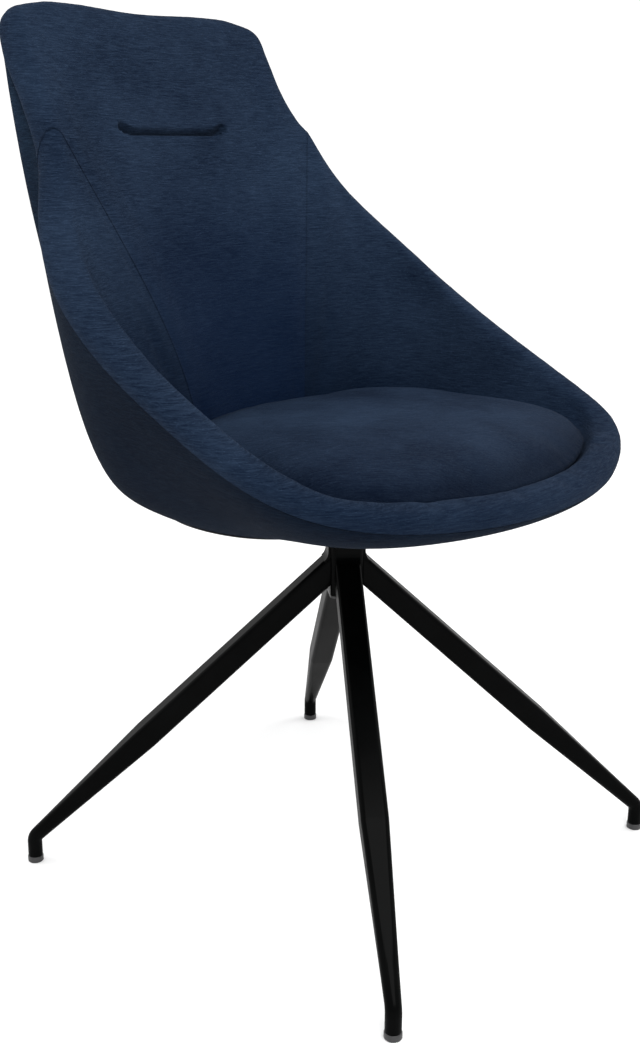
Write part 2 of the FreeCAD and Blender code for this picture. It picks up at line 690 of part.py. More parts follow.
def sewn_solid(half_faces, whole_faces=()):
    """Closed solid from the faces of one half, their mirror images and faces that span both."""
    mirrored = [face.mirror(Vector(0, 0, 0), Vector(1, 0, 0)) for face in half_faces]
    shell = Part.makeShell(list(half_faces) + mirrored + list(whole_faces))
    shell.sewShape(TOLERANCE)
    solid = Part.makeSolid(Part.Shell(shell.Faces))
    if solid.Volume < 0:
        solid.reverse()
    return solid


def outer_cover(stations):
    """Padded cover on the outside of the bucket, open under the seat board."""
    outer = rows_of(stations, lambda s: s.wall(0.0, 0.0, s.seam))
    inner = rows_of(stations, lambda s: s.wall(COVER_THICKNESS, 0.0, s.seam)[::-1])
    rows = [outer, ends_of(outer, inner), inner, ends_of(inner, outer)]
    shares = shares_of(stations)
    return sewn_solid([strip_face(group, shares) for group in rows])


def shell_core(stations):
    """Moulded bucket with a closed floor and a mounting boss."""
    outer = rows_of(stations, lambda s: s.wall(CORE_START, 0.0, s.seam))
    inner = rows_of(stations, lambda s: s.wall(CORE_END, 0.0, s.seam)[::-1])
    shares = shares_of(stations)
    strips = [strip_face(group, shares) for group in (outer, ends_of(outer, inner), inner)]
    bowl = sewn_solid(strips, [level_face(outer[0], shares), level_face(inner[-1], shares)])
    boss_width = BOLT_SPACING + 2 * BOLT_WASHER_DIAMETER
    boss = plate_prism(boss_width, PLATE_CORNER_RADIUS, COVER_UNDERSIDE, CORE_START + CORE_THICKNESS / 2)
    return bowl.fuse(boss).cut(at_bolts(bolt_hole))


def padding(stations):
    """Padding of the whole bucket: back, wings and lip in one ring."""
    back = rows_of(stations, lambda s: s.wall(PAD_BACK, PAD_START, s.rim_start))
    skin = rows_of(stations, lambda s: s.wall(0.0, s.rim_start, 1.0))
    cap = rows_of(stations, lambda s: s.cap())
    inside = rows_of(stations, lambda s: s.inside())
    rows = [back, ends_of(back, skin), skin, cap, inside, ends_of(inside, back)]
    shares = shares_of(stations)
    return sewn_solid([strip_face(group, shares) for group in rows])


def back_wedge(gap):
    """Space behind the two seam planes, moved back by a gap."""
    reach = 2 * BELLY_HALF_WIDTH
    slope = math.tan(math.radians(SEAM_PLANE_DEG))
    start = SEAM_PLANE_Y + gap / math.cos(math.radians(SEAM_PLANE_DEG))
    middle = Vector(0, start, 0)
    corners = [middle, Vector(reach, start + reach * slope, 0),
               Vector(-reach, start + reach * slope, 0), middle]
    return Part.Face(Part.makePolygon(corners)).extrude(UP * (2 * TOP_HEIGHT))


def crease_tool(stations):
    """Round bar with turned up ends that presses the crease into the back pad."""
    front = strip_face(rows_of(stations, lambda s: s.inside()), shares_of(stations))

    def bar_point(x, height):
        """Middle of the bar in front of the padding at a place on it."""
        probe = Part.makeLine(Vector(x, 0, height), Vector(x, TOP_Y, height))
        nearest = probe.distToShape(front)[1][0][0]
        return Vector(x, nearest.y - CREASE_RADIUS + CREASE_BITE, height)

    bend = bar_point(CREASE_LENGTH / 2 - CREASE_END, CREASE_HEIGHT)
    end = bar_point(CREASE_LENGTH / 2, CREASE_HEIGHT + CREASE_END_RISE)
    points = [Vector(-end.x, end.y, end.z), Vector(-bend.x, bend.y, bend.z), bend, end]
    balls = [Part.makeSphere(CREASE_RADIUS, point) for point in points]
    bars = []
    for start, stop in zip(points, points[1:]):
        step = stop - start
        bars.append(Part.makeCylinder(CREASE_RADIUS, step.Length, start, step))
    return bars + balls


def back_pad(stations, pads):
    """Padded back with its head roll, between the two seams."""
    return pads.common(back_wedge(SOFT_GAP / 2)).cut(crease_tool(stations))


def rim_pad(pads):
    """Padded wings and front lip, in one piece round the seat."""
    return pads.cut(back_wedge(-SOFT_GAP / 2))


# Flat layers and cushion


def oval_plate(half_width, front, rear, bottom, top):
    """Level plate with an oval outline between two heights."""
    shares = [index / PLATE_STEPS for index in range(PLATE_STEPS + 1)]
    row = [oval_point(math.pi * share, half_width, front, rear, FLOOR_SQUARENESS, bottom)
           for share in shares]
    return level_face(row, shares).extrude(UP * (top - bottom))


def under_cover():
    """Black cloth that closes the underside of the seat."""
    cloth = oval_plate(FLOOR_HALF_WIDTH + CLOTH_LAP, FLOOR_FRONT + CLOTH_LAP, FLOOR_REAR + CLOTH_LAP,
                       PLATE_TOP + CLOTH_GAP, COVER_UNDERSIDE - CLOTH_GAP)
    return cloth.cut(at_bolts(bolt_hole))


def seat_board():
    """Plywood board on the floor of the shell, with holes for the tee nuts and bolts."""
    board = oval_plate(FLOOR_HALF_WIDTH - BOARD_EDGE_GAP, FLOOR_FRONT - BOARD_EDGE_GAP,
                       FLOOR_REAR - BOARD_EDGE_GAP, BOARD_BOTTOM, BOARD_TOP)
    barrels = at_bolts(lambda x, y: nut_barrel(x, y, RUNNING_GAP))
    return board.cut(barrels).cut(at_bolts(bolt_hole))


def seat_base_pad():
    """Foam layer over the board, under the loose cushion."""
    return oval_plate(BASE_PAD_HALF_WIDTH, BASE_PAD_FRONT, BASE_PAD_REAR, BASE_PAD_BOTTOM, BASE_PAD_TOP)


class CushionLine:
    """Outline of the cushion at one station, from its underside to its flat middle."""

    def __init__(self, station):
        """Fits the cushion line to the padding beside it."""
        angle = station.angle
        inward = Vector(-math.sin(angle), math.cos(angle), 0)
        edge_height = at_place(CUSHION_EDGE_HEIGHTS, angle)
        self.widest = station.inside_at(edge_height) + inward * CUSHION_SIDE_GAP
        self.bottom = station.inside_at(CUSHION_BOTTOM) + inward * CUSHION_TUCK
        beside = station.inside_at((edge_height + CUSHION_BOTTOM) / 2) + inward * CUSHION_FLANK_GAP
        self.side = [self.bottom, self.bottom - inward * (CUSHION_TUCK * CUSHION_FULLNESS),
                     beside, self.widest]
        centre = Vector(0, PLAN_CENTRE_Y, edge_height)
        crown = UP * (CUSHION_CROWN_HEIGHT - edge_height)
        self.flat = centre + (self.widest - centre) * CUSHION_FLAT_SHARE + crown
        shoulder = centre + (self.widest - centre) * CUSHION_SHOULDER_SHARE + crown
        self.top = [self.widest, self.widest + crown * CUSHION_FULLNESS, shoulder, self.flat]


def seat_cushion(stations):
    """Loose cushion with a crown and drawn in sides that fills the bottom of the bucket."""
    lines = [CushionLine(station) for station in stations]
    side = rows_of(lines, lambda line: line.side)
    top = rows_of(lines, lambda line: line.top)
    shares = shares_of(stations)
    return sewn_solid([strip_face(side, shares), strip_face(top, shares)],
                      [level_face(side[0], shares), level_face(top[-1], shares)])


def leg_set(make):
    """Copies of a piece at the four legs, with the names of the legs."""
    places = ("rear_left", "rear_right", "front_right", "front_left")
    piece = make()
    return {place: around_axis(piece, LEG_TURN + 90 * index) for index, place in enumerate(places)}


def all_parts():
    """Every node of the chair with its solid or group of solids."""
    parts = {"leg_" + place: piece for place, piece in leg_set(leg).items()}
    parts.update({"glide_" + place: piece for place, piece in leg_set(glide).items()})
    for make in (hub_tube, hub_end_cap, upper_bush, lower_bush, thrust_washer):
        parts[make.__name__] = around_axis(make(), LEG_TURN)
    for make in (swivel_spindle, spindle_washer, retaining_ring, seat_plate, seat_board, under_cover,
                 seat_base_pad):
        parts[make.__name__] = make()
    parts["mounting_bolts"] = at_bolts(mounting_bolt)
    parts["bolt_washers"] = at_bolts(bolt_washer)
    parts["tee_nuts"] = at_bolts(tee_nut)
    stations = make_stations()
    pads = padding(stations)
    parts["outer_cover"] = outer_cover(stations)
    parts["shell_core"] = shell_core(stations)
    parts["back_pad"] = back_pad(stations, pads)
    parts["rim_pad"] = rim_pad(pads)
    parts["seat_cushion"] = seat_cushion(stations)
    return parts


def main():
    """Builds the chair, centres it over the origin and writes one file for each node."""
    parts = all_parts()
    box = Part.makeCompound(list(parts.values())).optimalBoundingBox()
    middle = Vector(box.Center.x, box.Center.y, 0)
    os.makedirs(PARTS_FOLDER, exist_ok=True)
    for name, shape in parts.items():
        shape.translate(middle * -1)
        shape.exportStep(os.path.join(PARTS_FOLDER, name + ".step"))
    print("turning axis at x %.3f y %.3f" % (-middle.x, -middle.y))


main()
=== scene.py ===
"""Looks of the swivel dining chair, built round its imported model. Metres, +Z up, the sitter looks along -Y."""

import json
import logging
import math
from dataclasses import dataclass, field
from enum import Enum
from typing import Iterable, Optional, Union

import bpy
import bmesh
import numpy as np
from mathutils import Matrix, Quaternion, Vector, noise
from mathutils.bvhtree import BVHTree
from mathutils.kdtree import KDTree

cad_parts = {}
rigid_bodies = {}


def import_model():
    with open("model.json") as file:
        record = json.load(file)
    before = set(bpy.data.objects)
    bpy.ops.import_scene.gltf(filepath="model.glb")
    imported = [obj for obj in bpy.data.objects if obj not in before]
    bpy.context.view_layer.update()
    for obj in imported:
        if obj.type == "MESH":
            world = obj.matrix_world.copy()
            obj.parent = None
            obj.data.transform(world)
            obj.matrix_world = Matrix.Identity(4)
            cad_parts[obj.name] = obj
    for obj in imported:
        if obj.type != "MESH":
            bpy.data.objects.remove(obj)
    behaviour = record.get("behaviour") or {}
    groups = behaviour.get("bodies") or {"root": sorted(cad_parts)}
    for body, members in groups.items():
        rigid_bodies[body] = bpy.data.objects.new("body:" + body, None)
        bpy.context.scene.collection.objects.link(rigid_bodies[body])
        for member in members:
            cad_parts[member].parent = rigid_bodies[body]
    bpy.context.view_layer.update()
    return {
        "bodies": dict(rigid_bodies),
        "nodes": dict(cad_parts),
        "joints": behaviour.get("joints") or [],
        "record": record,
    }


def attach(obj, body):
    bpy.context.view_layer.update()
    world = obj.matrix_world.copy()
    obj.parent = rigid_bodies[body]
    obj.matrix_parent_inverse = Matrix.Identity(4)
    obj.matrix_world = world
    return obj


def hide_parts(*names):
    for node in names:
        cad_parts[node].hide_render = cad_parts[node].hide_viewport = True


LOG = logging.getLogger("dining_chair")
POCKET = (0.0, 0.08, 0.50)      # middle of the bucket's deepest shade, in metres
Value = Union["Term", float, int, tuple]


# Shader graphs


class Term:
    """A value in a shader graph that can be used in sums and products."""

    def __init__(self, graph: "Graph", socket: bpy.types.NodeSocket) -> None:
        """Wraps a socket.

        Args:
            graph: the graph that the socket belongs to.
            socket: the output socket.
        """
        self.graph = graph
        self.socket = socket

    def _math(self, operation: str, other: Value, swapped: bool = False) -> "Term":
        """Adds a Math node.

        Args:
            operation: name of the Math node's operation.
            other: the second value.
            swapped: puts the other value first.

        Returns:
            The node's result.
        """
        pair = (other, self) if swapped else (self, other)
        return self.graph.math(operation, *pair)

    def __add__(self, other: Value) -> "Term":
        """Adds a value.

        Args:
            other: the value on the right.

        Returns:
            The sum.
        """
        return self._math("ADD", other)

    def __radd__(self, other: Value) -> "Term":
        """Adds this term to a value.

        Args:
            other: the value on the left.

        Returns:
            The sum.
        """
        return self._math("ADD", other, True)

    def __sub__(self, other: Value) -> "Term":
        """Takes a value away.

        Args:
            other: the value on the right.

        Returns:
            The difference.
        """
        return self._math("SUBTRACT", other)

    def __rsub__(self, other: Value) -> "Term":
        """Takes this term away from a value.

        Args:
            other: the value on the left.

        Returns:
            The difference.
        """
        return self._math("SUBTRACT", other, True)

    def __mul__(self, other: Value) -> "Term":
        """Multiplies by a value.

        Args:
            other: the value on the right.

        Returns:
            The product.
        """
        return self._math("MULTIPLY", other)

    def __rmul__(self, other: Value) -> "Term":
        """Multiplies a value by this term.

        Args:
            other: the value on the left.

        Returns:
            The product.
        """
        return self._math("MULTIPLY", other, True)

    def __pow__(self, other: Value) -> "Term":
        """Raises to a power.

        Args:
            other: the power.

        Returns:
            The result.
        """
        return self._math("POWER", other)


class Graph:
    """Node tree of one material, with a surface shader at its end."""

    def __init__(self, name: str) -> None:
        """Makes the material.

        Args:
            name: name of the material.
        """
        self.material = bpy.data.materials.new(name)
        self.material.use_nodes = True
        self.tree = self.material.node_tree
        self.tree.nodes.clear()
        self.place = self.node("ShaderNodeTexCoord", {}, {}, "Object")

    def node(self, kind: str, settings: dict, inputs: dict, output: Union[str, int] = 0) -> Term:
        """Adds a node.

        Args:
            kind: Blender's name of the node type.
            settings: properties that are set first; "stops" fills a colour ramp.
            inputs: values or links of the node's sockets, by name or number.
            output: the socket that is wanted.

        Returns:
            The wanted output.
        """
        made = self.tree.nodes.new(kind)
        for name, value in settings.items():
            if name == "stops":
                self._fill_ramp(made.color_ramp, value)
            else:
                setattr(made, name, value)
        for name, value in inputs.items():
            socket = made.inputs[name]
            if isinstance(value, Term):
                self.tree.links.new(value.socket, socket)
            else:
                socket.default_value = value
        return Term(self, made.outputs[output])

    @staticmethod
    def _fill_ramp(ramp: bpy.types.ColorRamp, stops: Iterable) -> None:
        """Sets the stops of a colour ramp.

        Args:
            ramp: the ramp.
            stops: pairs of place and grey level.
        """
        stops = list(stops)
        while len(ramp.elements) < len(stops):
            ramp.elements.new(1.0)
        for element, (place, level) in zip(ramp.elements, stops):
            element.position = place
            element.color = (level, level, level, 1.0)

    def math(self, operation: str, first: Value, second: Value) -> Term:
        """Adds a Math node on two values.

        Args:
            operation: name of the node's operation.
            first: the first value.
            second: the second value.

        Returns:
            The result.
        """
        return self.node("ShaderNodeMath", {"operation": operation}, {0: first, 1: second})

    def stretched(self, scale: tuple, turn_deg: tuple = (0.0, 0.0, 0.0)) -> Term:
        """Object coordinates, turned and stretched.

        Args:
            scale: how many pattern units go into a metre, along each axis.
            turn_deg: turn of the pattern about each axis, in degrees.

        Returns:
            The new coordinates.
        """
        turned = self.node("ShaderNodeMapping", {"vector_type": "TEXTURE"},
                           {"Vector": self.place, "Rotation": tuple(math.radians(a) for a in turn_deg)})
        return self.node("ShaderNodeMapping", {}, {"Vector": turned, "Scale": scale})

    def grain(self, vector: Term, detail: float = 2.0, roughness: float = 0.5) -> Term:
        """Soft random pattern.

        Args:
            vector: the pattern's coordinates.
            detail: how many finer layers it has.
            roughness: how strong the finer layers are.

        Returns:
            The pattern, from 0 to 1.
        """
        return self.node("ShaderNodeTexNoise", {},
                         {"Vector": vector, "Scale": 1.0, "Detail": detail, "Roughness": roughness}, "Fac")

    def ramp(self, value: Term, stops: Iterable) -> Term:
        """Value passed through a ramp.

        Args:
            value: the value.
            stops: pairs of place and grey level.

        Returns:
            The grey level.
        """
        return self.node("ShaderNodeValToRGB", {"stops": stops}, {"Fac": value}, "Color")

    def smooth_step(self, value: Term, start: float, end: float) -> Term:
        """Value that eases from 0 to 1 between two levels.

        Args:
            value: the value.
            start: level at which it leaves 0.
            end: level at which it reaches 1.

        Returns:
            The eased value.
        """
        return self.node("ShaderNodeMapRange", {"interpolation_type": "SMOOTHSTEP"},
                         {"Value": value, "From Min": start, "From Max": end})

    def mix(self, share: Value, first: Value, second: Value) -> Term:
        """Colour between two colours.

        Args:
            share: share of the second colour.
            first: the first colour.
            second: the second colour.

        Returns:
            The mixed colour.
        """
        return self.node("ShaderNodeMix", {"data_type": "RGBA"}, {"Factor": share, 6: first, 7: second}, 2)

    def bump(self, height: Term, distance: float, strength: float = 1.0,
             under: Optional[Term] = None) -> Term:
        """Bumped normal.

        Args:
            height: height pattern from 0 to 1.
            distance: real height of the pattern, in metres.
            strength: share of the effect.
            under: another bumped normal below this one.

        Returns:
            The normal.
        """
        inputs = {"Height": height, "Distance": distance, "Strength": strength}
        if under is not None:
            inputs["Normal"] = under
        return self.node("ShaderNodeBump", {}, inputs)

    def surface(self, inputs: dict) -> bpy.types.Material:
        """Ends the graph in a surface.

        Args:
            inputs: values or links of the surface shader.

        Returns:
            The finished material.
        """
        shader = self.node("ShaderNodeBsdfPrincipled", {}, inputs, "BSDF")
        self.node_output(shader)
        return self.material

    def node_output(self, shader: Term) -> None:
        """Links a shader to the material's output.

        Args:
            shader: the shader.
        """
        end = self.tree.nodes.new("ShaderNodeOutputMaterial")
        self.tree.links.new(shader.socket, end.inputs["Surface"])


def colour(red: float, green: float, blue: float) -> tuple:
    """Opaque linear colour.

    Args:
        red: red part.
        green: green part.
        blue: blue part.

    Returns:
        The colour with full opacity.
    """
    return (red, green, blue, 1.0)


# Finishes


class Weft(Enum):
    """Which way the slubs of the chenille run on a piece."""

    ROUND = (1.0, 1.0, 15.0)
    ACROSS = (1.0, 9.0, 9.0)


@dataclass(frozen=True)
class Chenille:
    """Navy chenille with slubs and a soft pile, a painted light level for each piece, and painted shade in its
    hollows, towards the bottom and along its sewn edges.
    """

    name: str
    weft: Weft = Weft.ROUND
    turn_deg: float = 0.0
    # Painted light: this level makes the same yarn lighter or darker on each piece, to match how brightly that
    # piece is lit.
    shade: float = 1.0
    dark: tuple = (0.0016, 0.0050, 0.0145)
    light: tuple = (0.0225, 0.0400, 0.0740)
    # Painted shade: the cloth darkens towards the bottom, between these heights and down to this share.
    painted_shade_low: float = 0.40
    painted_shade_high: float = 0.60
    painted_low_shade: float = 0.62
    # Painted shade: near the bucket's pocket the cloth is darkened towards the painted shade colour below, which
    # the darkening towards the bottom uses too.
    painted_pocket_shade: float = 1.0
    pocket_shade_from: float = 0.05
    pocket_shade_to: float = 0.33
    painted_shade_colour: tuple = (0.0, 0.0045, 0.0200)
    # Painted shade along the seams and the crease: its strength, depth and sharpness.
    painted_seam_strength: float = 0.9
    painted_seam_shade: float = 0.3
    seam_shade_sharpness: float = 10.0
    roughness: float = 0.98
    gloss: float = 0.12
    shine: float = 0.04
    sheen: float = 0.012
    sheen_tint: tuple = (0.42, 0.58, 0.85)
    contrast: float = 0.86
    patchiness: float = 0.26
    patch_size: float = 0.11
    slub_length: float = 0.015
    slub_share: float = 0.62
    fibre_length: float = 0.0045
    fleck_scale: tuple = (420.0, 420.0, 900.0)
    fleck_share: float = 0.3
    pile: float = 0.0011

    def material(self) -> bpy.types.Material:
        """Builds the fabric.

        Returns:
            The material.
        """
        graph = Graph(self.name)
        turn = (0.0, 0.0, self.turn_deg)
        slub_scale = tuple(n / self.slub_length for n in self.weft.value)
        fibre_scale = tuple(n / self.fibre_length for n in self.weft.value)
        slubs = graph.grain(graph.stretched(slub_scale, turn), 3.0, 0.6)
        fibres = graph.grain(graph.stretched(fibre_scale, turn), 2.0, 0.6)
        patches = graph.grain(graph.stretched((1.0 / self.patch_size,) * 3), 3.0, 0.5)
        flecks = graph.grain(graph.stretched(self.fleck_scale, turn), 1.0)
        yarn = slubs * self.slub_share + fibres * (1.0 - self.slub_share)
        streaks = graph.ramp(yarn, [(0.35, 0.0), (0.5, 0.40), (0.66, 1.0)])
        tone = graph.ramp(patches, [(0.3, 0.0), (0.7, 1.0)])
        spots = graph.ramp(flecks, [(0.60, 0.0), (0.74, 1.0)])
        share = streaks * (self.contrast - self.patchiness) + tone * self.patchiness + spots * self.fleck_share
        # Painted shade along the seams and under the crease, read from the mask stored on the mesh.
        seam = graph.node("ShaderNodeAttribute", {"attribute_name": "seam"}, {}, "Fac") ** self.seam_shade_sharpness
        # Painted light: the yarn colour is scaled by this piece's painted light level, and darker still for the
        # painted shade along the seams.
        plain = self._yarn_at_painted_light(graph, share, self.shade)
        sewn = self._yarn_at_painted_light(graph, share, self.shade * self.painted_seam_shade)
        # Painted shade: the cloth is mixed towards the painted shade colour towards the bottom and near the
        # pocket.
        cloth_with_painted_shade = graph.mix(self._painted_light_share(graph), colour(*self.painted_shade_colour), plain)
        pile = graph.bump(slubs * 0.7 + tone * 0.3, self.pile, 0.9)
        pile = graph.bump(fibres, self.pile * 0.6, 0.8, pile)
        return graph.surface({
            "Base Color": graph.mix(seam * self.painted_seam_strength, cloth_with_painted_shade, sewn),
            "Roughness": self.roughness - self.gloss * streaks,
            "Normal": pile,
            "Specular IOR Level": self.shine,
            "Sheen Weight": self.sheen,
            "Sheen Roughness": 0.45,
            "Sheen Tint": colour(*self.sheen_tint),
        })

    def _painted_light_share(self, graph: Graph) -> Term:
        """Share of the plain yarn colour left by the painted shade, which darkens the cloth towards the bottom
        and near the bucket's pocket.

        Args:
            graph: the fabric's graph.

        Returns:
            1 for cloth without painted shade, less towards the bottom and near the pocket.
        """
        height = graph.node("ShaderNodeSeparateXYZ", {}, {"Vector": graph.place}, "Z")
        raised = graph.smooth_step(height, self.painted_shade_low, self.painted_shade_high)
        away = graph.node("ShaderNodeVectorMath", {"operation": "DISTANCE"}, {0: graph.place, 1: POCKET}, "Value")
        out = graph.smooth_step(away, self.pocket_shade_from, self.pocket_shade_to)
        # Painted shade that darkens the cloth towards the bottom.
        by_height = self.painted_low_shade + (1.0 - self.painted_low_shade) * raised
        # Painted shade that darkens the cloth near the bucket's pocket.
        by_depth = self.painted_pocket_shade + (1.0 - self.painted_pocket_shade) * out
        return by_height * by_depth

    def _yarn_at_painted_light(self, graph: Graph, share: Term, shade: float) -> Term:
        """Colour of the yarn scaled by a painted light level.

        Args:
            graph: the fabric's graph.
            share: share of the light yarn.
            shade: painted light level, 1 for the plain yarn.

        Returns:
            The colour.
        """
        dark = colour(*(c * shade for c in self.dark))
        light = colour(*(c * shade for c in self.light))
        return graph.mix(share, dark, light)


@dataclass(frozen=True)
class PowderCoat:
    """Fine black powder coat over steel, with faint dusty clouds."""

    name: str = "black_powder_coat"
    base: tuple = (0.0004, 0.0005, 0.0005)
    dusty: tuple = (0.0016, 0.0018, 0.0019)
    grain_size: float = 0.0009
    grain_height: float = 0.00006
    cloud_size: float = 0.07
    dustiness: float = 0.7
    roughness: float = 0.36
    refraction: float = 1.07
    lacquer: float = 0.08
    lacquer_roughness: float = 0.13
    lacquer_refraction: float = 1.3

    def material(self) -> bpy.types.Material:
        """Builds the coat.

        Returns:
            The material.
        """
        graph = Graph(self.name)
        peel = graph.grain(graph.stretched((1.0 / self.grain_size,) * 3), 2.0)
        clouds = graph.grain(graph.stretched((1.0 / self.cloud_size,) * 3), 4.0, 0.6)
        dust = graph.ramp(clouds, [(0.42, 0.0), (0.75, 1.0)])
        return graph.surface({
            "Base Color": graph.mix(dust * self.dustiness, colour(*self.base), colour(*self.dusty)),
            "Roughness": self.roughness + 0.1 * dust + 0.05 * peel,
            "Normal": graph.bump(peel, self.grain_height, 0.55),
            "IOR": self.refraction,
            "Coat Weight": self.lacquer,
            "Coat Roughness": self.lacquer_roughness,
            "Coat IOR": self.lacquer_refraction,
        })


@dataclass(frozen=True)
class Plated:
    """Bright plated steel of the fasteners and the swivel."""

    name: str = "zinc_plate"
    tone: tuple = (0.46, 0.47, 0.49)
    worn: tuple = (0.24, 0.24, 0.25)
    roughness: float = 0.26
    stain_roughness: float = 0.16
    mark_height: float = 0.00004

    def material(self) -> bpy.types.Material:
        """Builds the plating.

        Returns:
            The material.
        """
        graph = Graph(self.name)
        turning = graph.grain(graph.stretched((60.0, 60.0, 2600.0)), 2.0)
        stains = graph.grain(graph.stretched((90.0,) * 3), 4.0, 0.6)
        stain = graph.ramp(stains, [(0.45, 0.0), (0.7, 1.0)])
        return graph.surface({
            "Base Color": graph.mix(stain, colour(*self.tone), colour(*self.worn)),
            "Metallic": 1.0,
            "Roughness": self.roughness + self.stain_roughness * stain + 0.08 * turning,
            "Normal": graph.bump(turning, self.mark_height, 0.5),
        })


@dataclass(frozen=True)
class Moulded:
    """Moulded plastic with a fine spark finish."""

    name: str
    tone: tuple
    roughness: float = 0.5

    def material(self) -> bpy.types.Material:
        """Builds the plastic.

        Returns:
            The material.
        """
        graph = Graph(self.name)
        spark = graph.grain(graph.stretched((1400.0,) * 3), 2.0)
        scuff = graph.ramp(graph.grain(graph.stretched((70.0,) * 3), 4.0, 0.65), [(0.48, 0.0), (0.8, 1.0)])
        lighter = tuple(min(1.0, c * 1.7 + 0.004) for c in self.tone)
        return graph.surface({
            "Base Color": graph.mix(scuff * 0.6, colour(*self.tone), colour(*lighter)),
            "Roughness": self.roughness + 0.14 * scuff,
            "Normal": graph.bump(spark, 0.00005, 0.5),
        })


@dataclass(frozen=True)
class Plywood:
    """Birch plywood with its grain along the board and its plies at the edge."""

    name: str = "birch_plywood"
    pale: tuple = (0.55, 0.40, 0.25)
    brown: tuple = (0.34, 0.21, 0.11)
    roughness: float = 0.62
    pore_height: float = 0.0001

    def material(self) -> bpy.types.Material:
        """Builds the wood.

        Returns:
            The material.
        """
        graph = Graph(self.name)
        growth = graph.grain(graph.stretched((14.0, 160.0, 700.0)), 4.0, 0.6)
        pores = graph.grain(graph.stretched((60.0, 1500.0, 1500.0)), 2.0)
        share = graph.ramp(growth, [(0.35, 0.0), (0.65, 1.0)])
        return graph.surface({
            "Base Color": graph.mix(share * 0.8 + pores * 0.2, colour(*self.pale), colour(*self.brown)),
            "Roughness": self.roughness + 0.15 * share,
            "Normal": graph.bump(pores, self.pore_height, 0.6),
        })


@dataclass(frozen=True)
class Foam:
    """Cut foam with open cells."""

    name: str = "seat_foam"
    tone: tuple = (0.62, 0.58, 0.47)
    shadow: tuple = (0.36, 0.32, 0.24)
    cells_per_metre: float = 700.0
    cell_depth: float = 0.0005

    def material(self) -> bpy.types.Material:
        """Builds the foam.

        Returns:
            The material.
        """
        graph = Graph(self.name)
        cells = graph.node("ShaderNodeTexVoronoi", {}, {"Vector": graph.place, "Scale": self.cells_per_metre},
                           "Distance")
        patches = graph.grain(graph.stretched((25.0,) * 3), 3.0)
        share = graph.ramp(cells, [(0.1, 1.0), (0.5, 0.0)])
        return graph.surface({
            "Base Color": graph.mix(share * 0.7 + patches * 0.3, colour(*self.tone), colour(*self.shadow)),
            "Roughness": 0.92 - 0.06 * patches,
            "Normal": graph.bump(cells, self.cell_depth, 0.7),
        })


@dataclass(frozen=True)
class DustCloth:
    """Black bonded cloth under the seat, with its pressed diamonds."""

    name: str = "black_dust_cloth"
    base: tuple = (0.006, 0.006, 0.007)
    light: tuple = (0.022, 0.022, 0.025)
    points_per_metre: float = 520.0
    press_depth: float = 0.0002

    def material(self) -> bpy.types.Material:
        """Builds the cloth.

        Returns:
            The material.
        """
        graph = Graph(self.name)
        points = graph.node("ShaderNodeTexVoronoi", {"feature": "F1"},
                            {"Vector": graph.stretched((self.points_per_metre,) * 2 + (1.0,), (0.0, 0.0, 45.0)),
                             "Scale": 1.0, "Randomness": 0.15}, "Distance")
        fibres = graph.grain(graph.stretched((900.0, 900.0, 900.0)), 3.0)
        share = graph.ramp(points, [(0.15, 0.0), (0.5, 1.0)])
        return graph.surface({
            "Base Color": graph.mix(share * 0.5 + fibres * 0.5, colour(*self.base), colour(*self.light)),
            "Roughness": 0.85 + 0.1 * fibres,
            "Normal": graph.bump(share * 0.6 + fibres * 0.4, self.press_depth, 0.7),
        })


@dataclass(frozen=True)
class StudioPaint:
    """Matt white paint of the studio floor."""

    name: str = "studio_white"
    shaded: tuple = (0.93, 0.93, 0.93)
    bright: tuple = (0.95, 0.95, 0.95)

    def material(self) -> bpy.types.Material:
        """Builds the paint.

        Returns:
            The material.
        """
        graph = Graph(self.name)
        mottle = graph.grain(graph.stretched((3.0,) * 3), 2.0)
        return graph.surface({
            "Base Color": graph.mix(mottle, colour(*self.shaded), colour(*self.bright)),
            "Roughness": 0.85 + 0.1 * mottle,
        })


# Work on meshes


